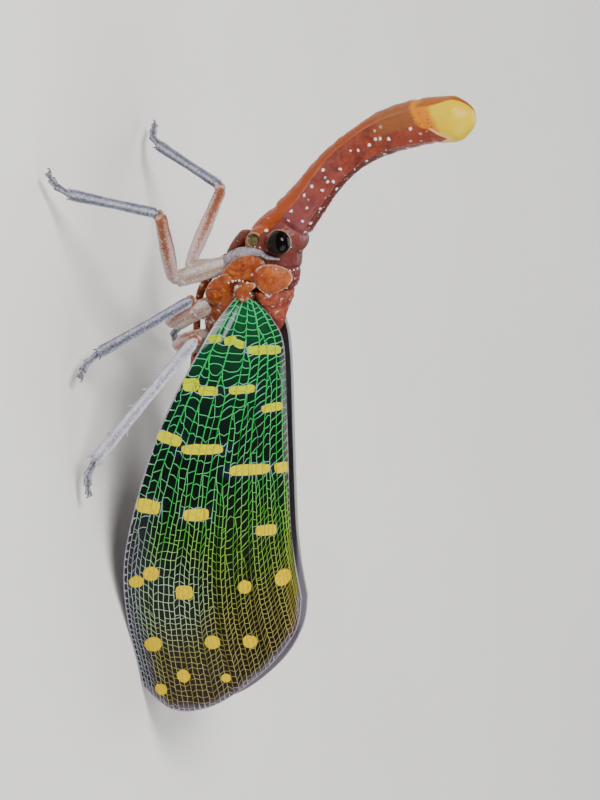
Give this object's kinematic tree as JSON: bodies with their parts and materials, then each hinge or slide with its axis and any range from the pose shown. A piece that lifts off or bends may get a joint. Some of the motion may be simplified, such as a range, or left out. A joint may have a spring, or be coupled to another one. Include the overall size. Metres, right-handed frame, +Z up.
{
  "type": "long-snouted lantern bug",
  "caption": "Life-size still model of a long-snouted lantern bug with a raised, bent snout tipped in yellow, netted green wings folded like a roof, and slim spread legs.",
  "frame": {"origin": "on the floor, at the bottom centre of the box round the whole insect", "axes": "+Z up from the floor, -X the way the head points, -Y the insect's left side"},
  "size_m": [0.0468, 0.021, 0.0325],
  "materials": {
    "red_brown_cuticle": "satin chitin, orange-brown in front and rose at the sides, with white wax specks",
    "lantern_cuticle": "smooth glossy yellow cuticle, orange at its foot",
    "compound_eye": "very glossy dark brown",
    "antenna_cuticle": "grainy olive brown knob",
    "waxed_cuticle": "cream and pink-brown cuticle under a film of white wax",
    "shin_cuticle": "grey lilac, dusted with wax",
    "forewing_membrane": "dark membrane in a raised net of emerald to straw veins, with yellow bars and spots",
    "hindwing_membrane": "thin pale blue-green film with darker tip",
    "body_cuticle": "dull brown, powdered with wax"
  },
  "bodies": {
    "root": {"head": "red_brown_cuticle", "snout_lower": "red_brown_cuticle", "snout_upper": "red_brown_cuticle", "clypeus": "red_brown_cuticle", "beak": "red_brown_cuticle", "pronotum": "red_brown_cuticle", "mesonotum": "red_brown_cuticle", "snout_tip": "lantern_cuticle", "eye_left": "compound_eye", "antenna_left": "antenna_cuticle", "tegula_left": "waxed_cuticle", "tegmen_left": "forewing_membrane", "hindwing_left": "hindwing_membrane", "coxa_front_left": "waxed_cuticle", "femur_front_left": "waxed_cuticle", "tibia_front_left": "shin_cuticle", "tarsus_front_left": "shin_cuticle", "coxa_mid_left": "waxed_cuticle", "femur_mid_left": "waxed_cuticle", "tibia_mid_left": "shin_cuticle", "tarsus_mid_left": "shin_cuticle", "coxa_hind_left": "waxed_cuticle", "femur_hind_left": "waxed_cuticle", "tibia_hind_left": "shin_cuticle", "tarsus_hind_left": "shin_cuticle", "eye_right": "compound_eye", "antenna_right": "antenna_cuticle", "tegula_right": "waxed_cuticle", "tegmen_right": "forewing_membrane", "hindwing_right": "hindwing_membrane", "coxa_front_right": "waxed_cuticle", "femur_front_right": "waxed_cuticle", "tibia_front_right": "shin_cuticle", "tarsus_front_right": "shin_cuticle", "coxa_mid_right": "waxed_cuticle", "femur_mid_right": "waxed_cuticle", "tibia_mid_right": "shin_cuticle", "tarsus_mid_right": "shin_cuticle", "coxa_hind_right": "waxed_cuticle", "femur_hind_right": "waxed_cuticle", "tibia_hind_right": "shin_cuticle", "tarsus_hind_right": "shin_cuticle", "thorax": "body_cuticle", "abdomen": "body_cuticle"}
  },
  "joints": []
}
